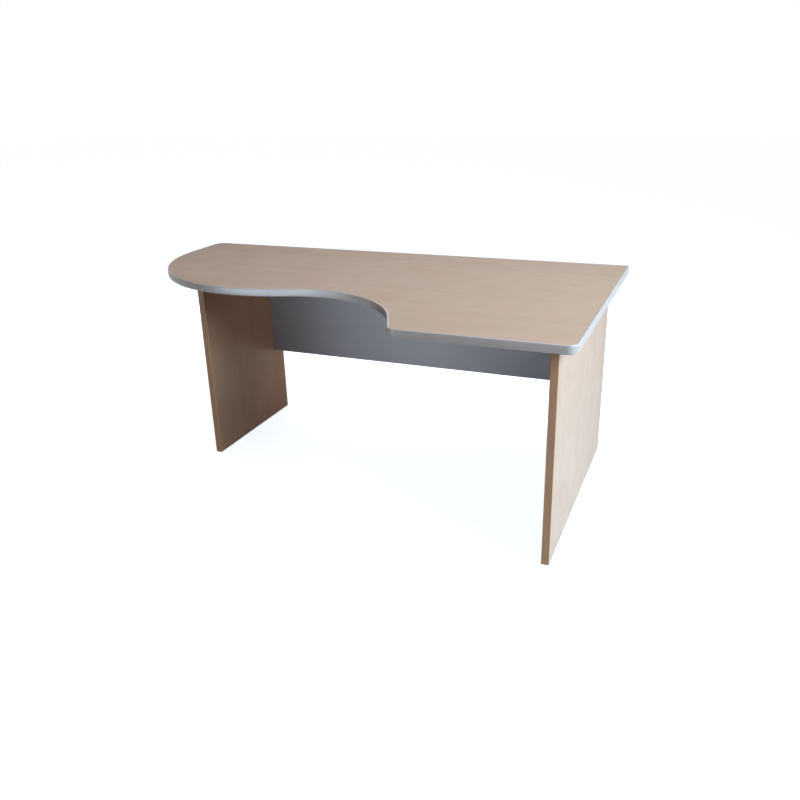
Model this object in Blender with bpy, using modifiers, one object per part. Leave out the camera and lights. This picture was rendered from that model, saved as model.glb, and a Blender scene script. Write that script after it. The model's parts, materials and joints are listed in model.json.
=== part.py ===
"""Computer desk with a swept top, two slab legs and a modesty panel, held by cams, bolts and dowels.

Metres, +Z up. The origin is on the floor, under the middle of the top's outline. +X is to the right of
someone who sits at the desk, and they sit at -Y.
"""
import math
from collections import namedtuple

import bmesh
import bpy
from mathutils import Matrix, Vector

# Overall sizes
desk_width = 1.800
desk_depth = 1.020
desk_height = 0.745

# Clearances
seat_gap = 0.0003
cut_overrun = 0.001

# Outline of the top: a lobe on the left, a bay for the user, a nose and a straight run on the right
lobe_radius = 0.535
lobe_centre_from_back = 0.192
lobe_to_bay_run = 0.006
bay_radius = 0.378
bay_centre_from_left = 0.858
bay_to_nose_run = 0.105
nose_radius = 0.040
rear_left_corner_radius = 0.035
rear_right_corner_radius = 0.018
front_right_corner_radius = 0.030
outline_tolerance = 0.0007

# Top board, the groove milled round its rim and the shallow seat milled in each face for a lip
board_thickness = 0.025
groove_width = 0.0034
groove_depth = 0.0112
lip_seat_depth = 0.0006

# T-moulding pressed into the groove
edging_head = 0.0035
edging_face_bow = 0.0006
edging_shoulder_radius = 0.0030
edging_lip_reach = 0.0025
edging_lip_thickness = 0.0012
edging_tongue_length = 0.0108
edging_tongue_web = 0.0014
edging_barb_length = 0.0036
edging_barb_count = 2
edging_barb_peak_share = 0.8
edging_seam = 0.0005

# Legs, of one board thickness
leg_thickness = 0.025
left_leg_depth = 0.545
left_side_overhang = 0.277
right_side_overhang = 0.0645
leg_rear_overhang = 0.023
right_leg_front_overhang = 0.097

# Modesty panel
modesty_thickness = 0.016
modesty_height = 0.4215
modesty_set_in = 0.060

# Edge bands
leg_band_thickness = 0.002
leg_sole_band_thickness = 0.001
modesty_band_thickness = 0.001
band_arris_share = 0.6

# Cam locks, the same one in the legs and in the panel
cam_radius = 0.0072
cam_length = 0.0125
cam_backset = 0.034
cam_axis_depth = 0.008
cam_chamber_radius = 0.0056
cam_chamber_height = 0.0072
cam_throw = 0.00075
cam_slot_width = 0.0051
cam_mouth_radius = 0.0037
cam_cross_length = 0.0066
cam_cross_width = 0.0013
cam_cross_depth = 0.0026
cam_turn = math.radians(180)
cam_neck_room = math.radians(32)

# Bolts that the cams grip
bolt_thread_radius = 0.0030
bolt_thread_length = 0.0110
bolt_point_length = 0.0015
bolt_collar_radius = 0.0036
bolt_collar_length = 0.0025
bolt_shank_radius = 0.0030
bolt_neck_radius = 0.0022
bolt_neck_relief = 0.0010
bolt_head_radius = 0.0033
bolt_head_length = 0.0018
bolt_head_seat = 0.0035
bolt_hole_radius = 0.0040

# Dowels
dowel_radius = 0.0039
dowel_length = 0.030
dowel_in_face = 0.012
dowel_chamfer = 0.0010

# Spacing of the fittings
fitting_end_distance = 0.064
fitting_pitch = 0.032
modesty_upper_cam_drop = 0.096
modesty_top_cam_share = 0.26
longest_undowelled_run = 0.500

# Glides under the legs, each held by a nail
glide_radius = 0.009
glide_height = 0.0025
glide_edge_radius = 0.0008
glide_end_distance = 0.050
glide_recess_radius = 0.0036
glide_recess_depth = 0.0014
nail_radius = 0.0011
nail_length = 0.016
nail_point_length = 0.002
nail_head_radius = 0.0031
nail_head_thickness = 0.0008

# Sides of the round pieces
bore_sides = 16
hole_sides = 12
rod_sides = 10
slot_sides = 6
corner_steps = 2

# Places that follow from the sizes
rim_inset = edging_head + seat_gap
left_edge, right_edge = -desk_width / 2, desk_width / 2
front_edge, back_edge = -desk_depth / 2, desk_depth / 2
underside = desk_height - board_thickness
leg_top = underside - seat_gap
sole_bottom = glide_height + seat_gap
core_bottom = sole_bottom + leg_sole_band_thickness + seat_gap
leg_back = back_edge - leg_rear_overhang
modesty_back = leg_back - modesty_set_in
modesty_front = modesty_back - modesty_thickness
modesty_bottom = leg_top - modesty_height
modesty_core_bottom = modesty_bottom + modesty_band_thickness + seat_gap

Leg = namedtuple("Leg", "name side outer inward depth")
left_leg = Leg("left_leg", "left", left_edge + left_side_overhang, 1, left_leg_depth)
right_leg = Leg("right_leg", "right", right_edge - right_side_overhang, -1,
                desk_depth - leg_rear_overhang - right_leg_front_overhang)
legs = (left_leg, right_leg)

DOWN = (0, 0, -1)
UP = (0, 0, 1)
FORWARD = (0, -1, 0)
BACKWARD = (0, 1, 0)


def inner_face(leg):
    return leg.outer + leg.inward * leg_thickness


def leg_front(leg):
    return leg_back - leg.depth


def remove_everything():
    for item in list(bpy.data.objects):
        bpy.data.objects.remove(item, do_unlink=True)


def new_collection(name):
    collection = bpy.data.collections.new(name)
    bpy.context.scene.collection.children.link(collection)
    return collection


def finish(name, colour, roughness, metallic=0.0):
    material = bpy.data.materials.new(name)
    material.use_nodes = True
    shader = material.node_tree.nodes["Principled BSDF"]
    shader.inputs["Base Color"].default_value = (*colour, 1.0)
    shader.inputs["Roughness"].default_value = roughness
    shader.inputs["Metallic"].default_value = metallic
    return material


def frame_at(point, z_axis, y_axis):
    """A placement at a point, with its local Z and Y along the given world directions."""
    z, y = Vector(z_axis), Vector(y_axis)
    place = Matrix((y.cross(z), y, z)).transposed().to_4x4()
    place.translation = Vector(point)
    return place


# Building blocks

def add_object(name, mesh, place=None, material=None, collection=None):
    item = bpy.data.objects.new(name, mesh)
    (collection or parts).objects.link(item)
    if place is not None:
        item.matrix_world = place
    if material is not None:
        mesh.materials.clear()
        mesh.materials.append(material)
        item.parent = desk
    return item


def shade(mesh, angle=math.radians(35)):
    mesh.shade_smooth()
    mesh.set_sharp_from_angle(angle=angle)


def baked_mesh(item, name):
    """The evaluated mesh of an object that has modifiers or is a curve, welded, facing outwards."""
    mesh = bpy.data.meshes.new_from_object(item.evaluated_get(bpy.context.evaluated_depsgraph_get()))
    mesh.name = name
    shape = bmesh.new()
    shape.from_mesh(mesh)
    bmesh.ops.remove_doubles(shape, verts=shape.verts, dist=seat_gap / 100)
    bmesh.ops.recalc_face_normals(shape, faces=shape.faces)
    shape.to_mesh(mesh)
    shape.free()
    return mesh


def flat_curve(name, points, closed=True):
    curve = bpy.data.curves.new(name, "CURVE")
    curve.dimensions = "2D"
    spline = curve.splines.new("POLY")
    spline.points.add(len(points) - 1)
    for target, (x, y) in zip(spline.points, points):
        target.co = (x, y, 0, 1)
    spline.use_cyclic_u = closed
    return curve


def plate_mesh(name, outline, thickness):
    """A flat outline filled and extruded to a plate that is centred on its own XY plane."""
    curve = flat_curve(name, outline)
    curve.fill_mode = "BOTH"
    curve.extrude = thickness / 2
    guide = add_object(name, curve, collection=cutters)
    mesh = baked_mesh(guide, name)
    bpy.data.objects.remove(guide)
    return mesh


def swept_mesh(name, path, profile):
    """A closed profile, outward and up from the path, swept along a flat path and capped."""
    section = add_object(name + "_section", flat_curve(name, profile), collection=cutters)
    curve = flat_curve(name, path, closed=False)
    curve.dimensions = "3D"
    curve.twist_mode = "Z_UP"
    curve.bevel_mode = "OBJECT"
    curve.bevel_object = section
    curve.use_fill_caps = True
    guide = add_object(name, curve, collection=cutters)
    mesh = baked_mesh(guide, name)
    bpy.data.objects.remove(guide)
    bpy.data.objects.remove(section)
    return mesh


def box_mesh(name, size):
    mesh = bpy.data.meshes.new(name)
    shape = bmesh.new()
    bmesh.ops.create_cube(shape, size=1, matrix=Matrix.Diagonal((*size, 1)))
    shape.to_mesh(mesh)
    shape.free()
    return mesh


def rods_mesh(name, places, radius, start, end, sides):
    """One cylinder at each place, from start to end along its local Z, with a flat towards local X."""
    mesh = bpy.data.meshes.new(name)
    shape = bmesh.new()
    half_side = Matrix.Rotation(math.pi / sides, 4, "Z")
    for place in places:
        middle = place @ Matrix.Translation((0, 0, (start + end) / 2)) @ half_side
        bmesh.ops.create_cone(shape, cap_ends=True, segments=sides, radius1=radius, radius2=radius,
                              depth=end - start, matrix=middle)
    shape.to_mesh(mesh)
    shape.free()
    return mesh


def turned_mesh(name, profile, sides, ring=False):
    """A profile of (radius, height) points turned round Z; a ring's profile is a closed loop."""
    outline = bpy.data.meshes.new(name)
    edges = [(i, i + 1) for i in range(len(profile) - 1)]
    if ring:
        edges.append((len(profile) - 1, 0))
    outline.from_pydata([(radius, 0, height) for radius, height in profile], edges, [])
    guide = add_object(name, outline, collection=cutters)
    turn = guide.modifiers.new("turn", "SCREW")
    turn.steps = turn.render_steps = sides
    turn.use_merge_vertices = True
    turn.merge_threshold = seat_gap / 100
    mesh = baked_mesh(guide, name)
    bpy.data.objects.remove(guide)
    return mesh


def cut(item, name, mesh, place=None):
    cutter = add_object(name, mesh, place, collection=cutters)
    cutter.hide_render = True
    cutter.display_type = "WIRE"
    boolean = item.modifiers.new(name, "BOOLEAN")
    boolean.operation = "DIFFERENCE"
    boolean.solver = "EXACT"
    boolean.object = cutter


def discard(item):
    """Removes a helper object and the cutters that shaped it."""
    for helper in [modifier.object for modifier in item.modifiers if modifier.type == "BOOLEAN"] + [item]:
        bpy.data.objects.remove(helper)


def board(name, low, high, material):
    """A square-cut panel between two opposite corners."""
    low, high = Vector(low), Vector(high)
    return add_object(name, box_mesh(name, high - low), Matrix.Translation((low + high) / 2), material)


def copies(mesh, places, suffix, material):
    """One object that shares the mesh at each named place."""
    shade(mesh)
    for name, place in places.items():
        add_object(name + suffix, mesh, place, material)


# Outline of the top

def arc(centre, radius, inset, start, end):
    """Points along an arc, as many at every inset, so that inset outlines run parallel."""
    step = 2 * math.acos(1 - outline_tolerance / radius)
    count = math.ceil(abs(end - start) / step)
    angles = [start + (end - start) * i / count for i in range(count + 1)]
    reach = radius - inset
    return [(centre[0] + reach * math.cos(a), centre[1] + reach * math.sin(a)) for a in angles]


def crossing_angle(first, second, radii, run, turn):
    """Where a straight run leaves the first circle to cross to the second; turn is 1 anticlockwise."""
    heading = math.atan2(second[1] - first[1], second[0] - first[0])
    return heading - turn * math.atan2(run, radii)


def top_outline(inset):
    """Anticlockwise points of the top's outline, from the middle of the back edge, set in evenly."""
    lobe = (left_edge + lobe_radius, back_edge - lobe_centre_from_back)
    bay_x = left_edge + bay_centre_from_left
    lobe_to_bay = math.hypot(lobe_radius + bay_radius, lobe_to_bay_run)
    bay = (bay_x, lobe[1] - math.sqrt(lobe_to_bay ** 2 - (bay_x - lobe[0]) ** 2))
    nose_y = front_edge + nose_radius
    bay_to_nose = math.hypot(bay_radius + nose_radius, bay_to_nose_run)
    nose = (bay_x + math.sqrt(bay_to_nose ** 2 - (nose_y - bay[1]) ** 2), nose_y)
    lobe_end = crossing_angle(lobe, bay, lobe_radius + bay_radius, lobe_to_bay_run, 1)
    bay_end = crossing_angle(bay, nose, bay_radius + nose_radius, bay_to_nose_run, -1)
    rear_left = (left_edge + rear_left_corner_radius, back_edge - rear_left_corner_radius)
    rear_right = (right_edge - rear_right_corner_radius, back_edge - rear_right_corner_radius)
    front_right = (right_edge - front_right_corner_radius, front_edge + front_right_corner_radius)
    quarter = math.pi / 2
    return (
        arc(rear_left, rear_left_corner_radius, inset, quarter, 2 * quarter)
        + arc(lobe, lobe_radius, inset, -2 * quarter, lobe_end)
        + arc(bay, bay_radius, -inset, lobe_end + math.pi, bay_end)
        + arc(nose, nose_radius, inset, bay_end - math.pi, -quarter)
        + arc(front_right, front_right_corner_radius, inset, -quarter, 0)
        + arc(rear_right, rear_right_corner_radius, inset, 0, quarter)
    )


# Desktop: board and T-moulding

def shoulder(top):
    """The head's rounded shoulder, from the lip's crown down to the bowed face."""
    flat = rim_inset - edging_face_bow
    points = []
    for i in range(1, corner_steps + 2):
        angle = math.pi / 2 * (1 - i / (corner_steps + 1))
        points.append((flat - edging_shoulder_radius + edging_shoulder_radius * math.cos(angle),
                       top - edging_shoulder_radius + edging_shoulder_radius * math.sin(angle)))
    return points


def barbs():
    """Upper side of the barbed tongue, from its tip to its root."""
    web = edging_tongue_web / 2
    barb = groove_width / 2 - seat_gap
    points = [(-edging_tongue_length, web / 2)]
    for i in range(edging_barb_count):
        start = -edging_tongue_length + i * edging_barb_length
        peak = start + edging_barb_length * edging_barb_peak_share
        points += [(peak, barb), (start + edging_barb_length, web)]
    return points


def edging_profile():
    """Anticlockwise section of the moulding: outward in X, up in Y, from the board's rim.

    Each lip lies in its seat and thins to a tip that is flush with the board's face.
    """
    face = board_thickness / 2
    seat = face - lip_seat_depth + seat_gap
    crown = seat + edging_lip_thickness
    upper = (
        barbs()
        + [(seat_gap, edging_tongue_web / 2), (seat_gap, seat), (-edging_lip_reach, seat),
           (-edging_lip_reach, face), (0, crown)]
        + shoulder(crown)
        + [(rim_inset, 0)]
    )
    lower = [(x, -y) for x, y in reversed(upper[:-1])]
    return upper + lower


def rim_ring_mesh(name, reach, thickness):
    """What a cutter that follows the rim takes away: a plate less its middle, reaching inward."""
    ring = add_object(name, plate_mesh(name, top_outline(rim_inset - cut_overrun), thickness),
                      collection=cutters)
    cut(ring, name + "_core", plate_mesh(name, top_outline(rim_inset + reach), board_thickness))
    mesh = baked_mesh(ring, name)
    discard(ring)
    return mesh


def make_desktop():
    rim = top_outline(rim_inset)
    middle = Matrix.Translation((0, 0, desk_height - board_thickness / 2))
    top = add_object("desktop_board", plate_mesh("desktop_board", rim, board_thickness), middle, laminate)
    cut(top, "rim_groove", rim_ring_mesh("rim_groove", groove_depth, groove_width), middle)
    seat = rim_ring_mesh("lip_seat", edging_lip_reach + seat_gap, 2 * lip_seat_depth)
    for name, face in (("lower_lip_seat", underside), ("upper_lip_seat", desk_height)):
        cut(top, name, seat, Matrix.Translation((0, 0, face)))
    seam = edging_seam / 2
    back = back_edge - rim_inset
    path = [(-seam, back)] + rim + [(seam, back)]
    strip = swept_mesh("desktop_edging", path, edging_profile())
    shade(strip)
    add_object("desktop_edging", strip, middle, edging_grey)
    return top


# Legs and modesty panel, with their edge bands

def edge_band(name, place, length, width, thickness, material):
    """A strip with rounded outer arrises; the place is on the glued face, Z along it and Y outward."""
    arris = thickness * band_arris_share
    half = width / 2
    right = [(half - arris + arris * math.sin(a), thickness - arris + arris * math.cos(a))
             for a in (math.pi / 2 * (1 - i / corner_steps) for i in range(corner_steps + 1))]
    left = [(-x, y) for x, y in reversed(right)]
    outline = [(-half, 0), (half, 0)] + right + left
    mesh = plate_mesh(name, outline, length)
    shade(mesh)
    return add_object(name, mesh, place, material)


def make_leg(leg):
    front, back = leg_front(leg), leg_back
    skin = leg_band_thickness + seat_gap
    near, far = sorted((leg.outer, inner_face(leg)))
    panel = board(leg.name + "_panel", (near, front + skin, core_bottom), (far, back - skin, leg_top), beech)
    middle = (near + far) / 2
    height = leg_top - sole_bottom
    level = (leg_top + sole_bottom) / 2
    front_place = frame_at((middle, front + leg_band_thickness, level), UP, FORWARD)
    rear_place = frame_at((middle, back - leg_band_thickness, level), UP, BACKWARD)
    sole_place = frame_at((middle, (front + back) / 2, sole_bottom + leg_sole_band_thickness), BACKWARD, DOWN)
    edge_band(leg.name + "_front_edge_band", front_place, height, leg_thickness, leg_band_thickness, beech_band)
    edge_band(leg.name + "_rear_edge_band", rear_place, height, leg_thickness, leg_band_thickness, beech_band)
    sole = edge_band(leg.name + "_bottom_edge_band", sole_place, leg.depth - 2 * skin, leg_thickness,
                     leg_sole_band_thickness, beech_band)
    return panel, sole


def make_modesty_panel():
    left = inner_face(left_leg) + seat_gap
    right = inner_face(right_leg) - seat_gap
    panel = board("modesty_panel", (left, modesty_front, modesty_core_bottom), (right, modesty_back, leg_top),
                  panel_grey)
    place = frame_at(((left + right) / 2, (modesty_front + modesty_back) / 2,
                      modesty_bottom + modesty_band_thickness), (1, 0, 0), DOWN)
    edge_band("modesty_bottom_edge_band", place, right - left, modesty_thickness, modesty_band_thickness,
              panel_band)
    return panel


# Fittings. A fitting's place is on the mating faces: Z runs from the bolted board towards the cam, and
# Y is the way the cam's face looks. Places are kept by name.

def under_top(x, y, cam_face):
    return frame_at((x, y, underside), DOWN, cam_face)


def leg_rows(leg):
    """Where a leg's front and rear cams stand, from front to back."""
    return leg_front(leg) + fitting_end_distance, modesty_front - fitting_end_distance


def leg_line_place(leg, y):
    return under_top(inner_face(leg) - leg.inward * cam_axis_depth, y, (leg.inward, 0, 0))


def leg_cam_places(leg):
    front, rear = leg_rows(leg)
    return {leg.name + "_front": leg_line_place(leg, front), leg.name + "_rear": leg_line_place(leg, rear)}


def leg_dowel_places(leg):
    front, rear = leg_rows(leg)
    rows = {"_front": front + fitting_pitch, "_rear": rear - fitting_pitch}
    if rear - front > longest_undowelled_run:
        rows["_middle"] = (front + rear) / 2
    return {leg.name + row: leg_line_place(leg, y) for row, y in rows.items()}


def modesty_line():
    return modesty_back - cam_axis_depth


def modesty_end_places(leg, offset=0):
    """The fittings between the modesty panel and a leg, moved towards each other by an offset."""
    levels = {"_upper": leg_top - modesty_upper_cam_drop - offset,
              "_lower": modesty_bottom + fitting_end_distance + offset}
    return {"modesty_" + leg.side + level: frame_at((inner_face(leg), modesty_line(), z),
                                                    (leg.inward, 0, 0), BACKWARD)
            for level, z in levels.items()}


def modesty_top_places(offset=0):
    """The fittings between the modesty panel and the top, moved towards the legs by an offset."""
    left, right = inner_face(left_leg), inner_face(right_leg)
    inset = (right - left) * modesty_top_cam_share - offset
    columns = {"modesty_top_left": left + inset, "modesty_top_right": right - inset}
    return {name: under_top(x, modesty_line(), BACKWARD) for name, x in columns.items()}


def cam_place(fitting):
    """On the cam's axis where it meets the bolt's: Z looks out of the bore, Y points back up the bolt."""
    centre = fitting @ Vector((0, 0, cam_backset))
    axes = fitting.to_3x3()
    return frame_at(centre, axes.col[1], -axes.col[2])


def cam_mesh():
    """A slotted drum: its off-centre chamber draws the bolt's head in as it turns."""
    body = add_object("cam_blank", rods_mesh("cam_blank", [Matrix.Identity(4)], cam_radius,
                                             cam_axis_depth - cam_length, cam_axis_depth, bore_sides),
                      collection=cutters)
    half = cam_chamber_height / 2
    chamber = rods_mesh("cam_chamber", [Matrix.Translation((0, -cam_throw, 0))], cam_chamber_radius,
                        -half, half, bore_sides)
    cut(body, "cam_chamber", chamber)
    start = math.pi / 2 + cam_neck_room
    end = math.pi / 2 - cam_turn
    reach = cam_radius + cut_overrun
    rounds = [start + (end - start) * i / slot_sides for i in range(slot_sides + 1)]
    pie = [(0, 0)] + [(reach * math.cos(a), reach * math.sin(a)) for a in reversed(rounds)]
    cut(body, "cam_slot", plate_mesh("cam_slot", pie, cam_slot_width))
    open_way = frame_at((0, 0, 0), (math.cos(end), math.sin(end), 0), UP)
    cut(body, "cam_mouth", rods_mesh("cam_mouth", [open_way], cam_mouth_radius, 0, reach, hole_sides))
    cross_middle = cam_axis_depth - cam_cross_depth / 2 + cut_overrun / 2
    depth = cam_cross_depth + cut_overrun
    for i, size in enumerate([(cam_cross_length, cam_cross_width, depth),
                              (cam_cross_width, cam_cross_length, depth)]):
        cut(body, f"cam_cross_{i}", box_mesh("cam_cross", size), Matrix.Translation((0, 0, cross_middle)))
    mesh = baked_mesh(body, "cam")
    discard(body)
    return mesh


def bolt_mesh():
    shoulder_height = cam_backset - bolt_head_seat
    neck_start = cam_backset - cam_radius - bolt_neck_relief
    return turned_mesh("cam_bolt", [
        (0, shoulder_height + bolt_head_length),
        (bolt_head_radius, shoulder_height + bolt_head_length),
        (bolt_head_radius, shoulder_height),
        (bolt_neck_radius, shoulder_height),
        (bolt_neck_radius, neck_start),
        (bolt_shank_radius, neck_start),
        (bolt_shank_radius, bolt_collar_length),
        (bolt_collar_radius, bolt_collar_length),
        (bolt_collar_radius, seat_gap),
        (bolt_thread_radius, seat_gap),
        (bolt_thread_radius, bolt_point_length - bolt_thread_length),
        (bolt_thread_radius / 2, -bolt_thread_length),
        (0, -bolt_thread_length),
    ], rod_sides)


def dowel_mesh():
    """A dowel with chamfered ends, most of it in the panel's edge."""
    low, high = -dowel_in_face, dowel_length - dowel_in_face
    return turned_mesh("dowel", [
        (0, high),
        (dowel_radius - dowel_chamfer, high),
        (dowel_radius, high - dowel_chamfer),
        (dowel_radius, low + dowel_chamfer),
        (dowel_radius - dowel_chamfer, low),
        (0, low),
    ], rod_sides)


def drill(item, name, places, radius, start, end, sides=hole_sides):
    cut(item, name, rods_mesh(name, places, radius, start, end, sides))


def drill_bolted_side(item, name, bolts, dowels):
    """Blind holes in the board that the bolts are screwed into."""
    drill(item, name + "_pilots", bolts.values(), bolt_thread_radius + seat_gap,
          -bolt_thread_length - seat_gap, cut_overrun)
    drill(item, name + "_dowel_holes", dowels.values(), dowel_radius + seat_gap,
          -dowel_in_face - seat_gap, cut_overrun)


def drill_cam_side(item, name, bolts, dowels):
    """Bores for the cams, holes from the panel's edge into them, and holes for the dowels."""
    drill(item, name + "_bolt_holes", bolts.values(), bolt_hole_radius, -cut_overrun, cam_backset)
    drill(item, name + "_cam_bores", [cam_place(place) for place in bolts.values()], cam_radius + seat_gap,
          cam_axis_depth - cam_length - seat_gap, cam_axis_depth + cut_overrun, bore_sides)
    drill(item, name + "_edge_dowel_holes", dowels.values(), dowel_radius + seat_gap, -cut_overrun,
          dowel_length - dowel_in_face + seat_gap)


# Glides

def glide_mesh():
    """A low round pad with a stepped hole for its nail, standing on its own XY plane."""
    bore = nail_radius + seat_gap
    rounding = [(glide_radius - glide_edge_radius + glide_edge_radius * math.cos(a),
                 glide_edge_radius - glide_edge_radius * math.sin(a))
                for a in (math.pi / 2 * i / corner_steps for i in range(corner_steps + 1))]
    return turned_mesh("glide", [(bore, glide_height), (glide_radius, glide_height)] + rounding + [
        (glide_recess_radius, 0),
        (glide_recess_radius, glide_recess_depth),
        (bore, glide_recess_depth),
    ], bore_sides, ring=True)


def nail_mesh():
    """A nail whose flat head sits in the glide's recess."""
    head_top = glide_recess_depth - seat_gap
    tip = glide_height + nail_length
    return turned_mesh("nail", [
        (0, tip),
        (nail_radius, tip - nail_point_length),
        (nail_radius, head_top),
        (nail_head_radius, head_top),
        (nail_head_radius, head_top - nail_head_thickness),
        (0, head_top - nail_head_thickness),
    ], rod_sides)


def glide_places(leg):
    middle = (leg.outer + inner_face(leg)) / 2
    rows = {"_front": leg_front(leg) + glide_end_distance, "_rear": leg_back - glide_end_distance}
    return {leg.name + row: frame_at((middle, y, 0), UP, BACKWARD) for row, y in rows.items()}


def drill_nail_holes(item, leg):
    drill(item, item.name + "_nail_holes", glide_places(leg).values(), nail_radius + seat_gap, 0,
          glide_height + nail_length + seat_gap)


# Assembly

def make_desk():
    top = make_desktop()
    panel = make_modesty_panel()
    top_bolts, top_dowels = modesty_top_places(), modesty_top_places(fitting_pitch)
    side_bolts, side_dowels, feet = {}, {}, {}
    drill_cam_side(panel, "modesty_top", top_bolts, top_dowels)
    for leg in legs:
        leg_panel, sole = make_leg(leg)
        bolts, dowels = leg_cam_places(leg), leg_dowel_places(leg)
        drill_cam_side(leg_panel, leg.name, bolts, dowels)
        end_bolts, end_dowels = modesty_end_places(leg), modesty_end_places(leg, fitting_pitch)
        drill_bolted_side(leg_panel, leg.name + "_face", end_bolts, end_dowels)
        drill_cam_side(panel, leg.name + "_end", end_bolts, end_dowels)
        drill_nail_holes(leg_panel, leg)
        drill_nail_holes(sole, leg)
        top_bolts |= bolts
        top_dowels |= dowels
        side_bolts |= end_bolts
        side_dowels |= end_dowels
        feet |= glide_places(leg)
    drill_bolted_side(top, "underside", top_bolts, top_dowels)
    bolts = top_bolts | side_bolts
    copies(cam_mesh(), {name: cam_place(place) for name, place in bolts.items()}, "_cam", zinc)
    copies(bolt_mesh(), bolts, "_bolt", steel)
    copies(dowel_mesh(), top_dowels | side_dowels, "_dowel", dowel_beech)
    copies(glide_mesh(), feet, "_glide", glide_plastic)
    copies(nail_mesh(), feet, "_nail", steel)


remove_everything()
parts = new_collection("computer_desk")
cutters = new_collection("cutters")
desk = bpy.data.objects.new("desk_origin", None)
parts.objects.link(desk)

laminate = finish("laminate", (0.56, 0.47, 0.39), 0.45)
edging_grey = finish("edging_grey", (0.38, 0.40, 0.44), 0.35)
beech = finish("beech", (0.60, 0.47, 0.36), 0.45)
beech_band = finish("beech_band", (0.52, 0.36, 0.23), 0.40)
panel_grey = finish("panel_grey", (0.22, 0.23, 0.26), 0.45)
panel_band = finish("panel_band", (0.24, 0.25, 0.28), 0.40)
zinc = finish("zinc", (0.62, 0.62, 0.60), 0.40, 1.0)
steel = finish("steel", (0.70, 0.70, 0.68), 0.30, 1.0)
dowel_beech = finish("dowel_beech", (0.66, 0.48, 0.30), 0.60)
glide_plastic = finish("glide_plastic", (0.05, 0.05, 0.05), 0.50)

make_desk()
bpy.context.view_layer.update()
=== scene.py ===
# %% [markdown]
# # A desk with a swept top
# The desk is sheet goods: four boards, a soft moulding round the top and some hidden fittings.
# Nearly everything that the eye reads comes from three things: the sweep of the rim, the faint
# print on the boards, and light that falls in from the right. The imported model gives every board
# its place, so this lesson adds finishes, remakes the pieces whose round shapes want to be finer,
# and sets up the picture.

# %% Load the desk
import json
import math

import bmesh
import bpy
from mathutils import Matrix, Vector


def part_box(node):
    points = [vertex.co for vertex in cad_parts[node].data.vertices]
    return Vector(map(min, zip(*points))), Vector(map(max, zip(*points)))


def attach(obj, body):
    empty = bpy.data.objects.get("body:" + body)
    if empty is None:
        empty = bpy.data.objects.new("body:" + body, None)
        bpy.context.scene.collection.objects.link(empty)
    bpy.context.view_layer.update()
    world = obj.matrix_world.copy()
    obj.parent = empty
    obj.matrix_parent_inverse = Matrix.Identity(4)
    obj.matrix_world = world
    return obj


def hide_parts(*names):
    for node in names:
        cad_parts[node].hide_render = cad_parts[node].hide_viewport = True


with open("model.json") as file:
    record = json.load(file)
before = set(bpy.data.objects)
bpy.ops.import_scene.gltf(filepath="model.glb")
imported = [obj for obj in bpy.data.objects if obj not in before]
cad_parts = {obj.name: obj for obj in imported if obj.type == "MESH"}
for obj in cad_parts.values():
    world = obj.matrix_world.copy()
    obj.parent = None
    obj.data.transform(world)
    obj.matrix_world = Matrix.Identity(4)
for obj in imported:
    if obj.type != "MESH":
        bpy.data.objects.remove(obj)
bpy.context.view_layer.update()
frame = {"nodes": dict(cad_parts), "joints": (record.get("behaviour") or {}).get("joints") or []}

nodes, joints = frame["nodes"], frame["joints"]

# %% [markdown]
# ## The camera
# The edges of the boards run in three directions, and where they meet in the picture gives the lens
# and the place of the camera. It stands 1.4 m up, in front of the desk and to its right, and looks
# down on it.

# %% Camera
scene = bpy.context.scene
scene.view_settings.view_transform = "Standard"

camera_data = bpy.data.cameras.new("photo_camera")
camera_data.sensor_width = 36
camera_data.lens = 35.8814
camera_data.shift_x, camera_data.shift_y = 0.00297, 0.00052
camera = bpy.data.objects.new("photo_camera", camera_data)
camera.location = (1.23868, -2.51022, 1.39647)
camera.rotation_euler = [math.radians(angle) for angle in (68.2496, 1.4872, 22.4807)]
scene.collection.objects.link(camera)
scene.camera = camera
print("camera:", tuple(camera.location))

# %% [markdown]
# ## A way to write node trees
# Every finish is a node tree, and so is every shape that a rule makes. One helper adds a node and
# fills its sockets, either with a value or with a wire from another node, so that a tree reads like
# a recipe.


# %% Node helpers
def feed(tree, socket, value):
    """Gives a socket a value, or the wire that brings one."""
    if isinstance(value, bpy.types.NodeSocket):
        tree.links.new(value, socket)
    else:
        socket.default_value = value


def node(tree, kind, inputs=None, **settings):
    """Adds a node; what it is fed is given under each socket's name or index."""
    made = tree.nodes.new(kind)
    for name, value in settings.items():
        setattr(made, name, value)
    for name, value in (inputs or {}).items():
        feed(tree, made.inputs[name], value)
    return made


def maths(tree, operation, *values, clamp=False):
    inputs = dict(enumerate(values))
    return node(tree, "ShaderNodeMath", inputs, operation=operation, use_clamp=clamp).outputs[0]


def spread(tree, value, low, high, to_low=0.0, to_high=1.0):
    """Stretches a value's range from low..high to to_low..to_high and clips what lies outside."""
    return node(tree, "ShaderNodeMapRange", {
        "Value": value, "From Min": low, "From Max": high, "To Min": to_low,
        "To Max": to_high}).outputs["Result"]


def blend_colours(tree, share, first, second):
    inputs = {0: share, 6: first, 7: second}
    return node(tree, "ShaderNodeMix", inputs, data_type="RGBA").outputs[2]


def group(tree, shared, inputs):
    """Places a shared group in a tree and returns its outputs."""
    return node(tree, "ShaderNodeGroup", inputs, node_tree=shared).outputs


# %% Node groups
FLOAT, VECTOR, COLOUR = "NodeSocketFloat", "NodeSocketVector", "NodeSocketColor"
SHAPE, OBJECT = "NodeSocketGeometry", "NodeSocketObject"
MATERIAL, WHOLE = "NodeSocketMaterial", "NodeSocketInt"


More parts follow.
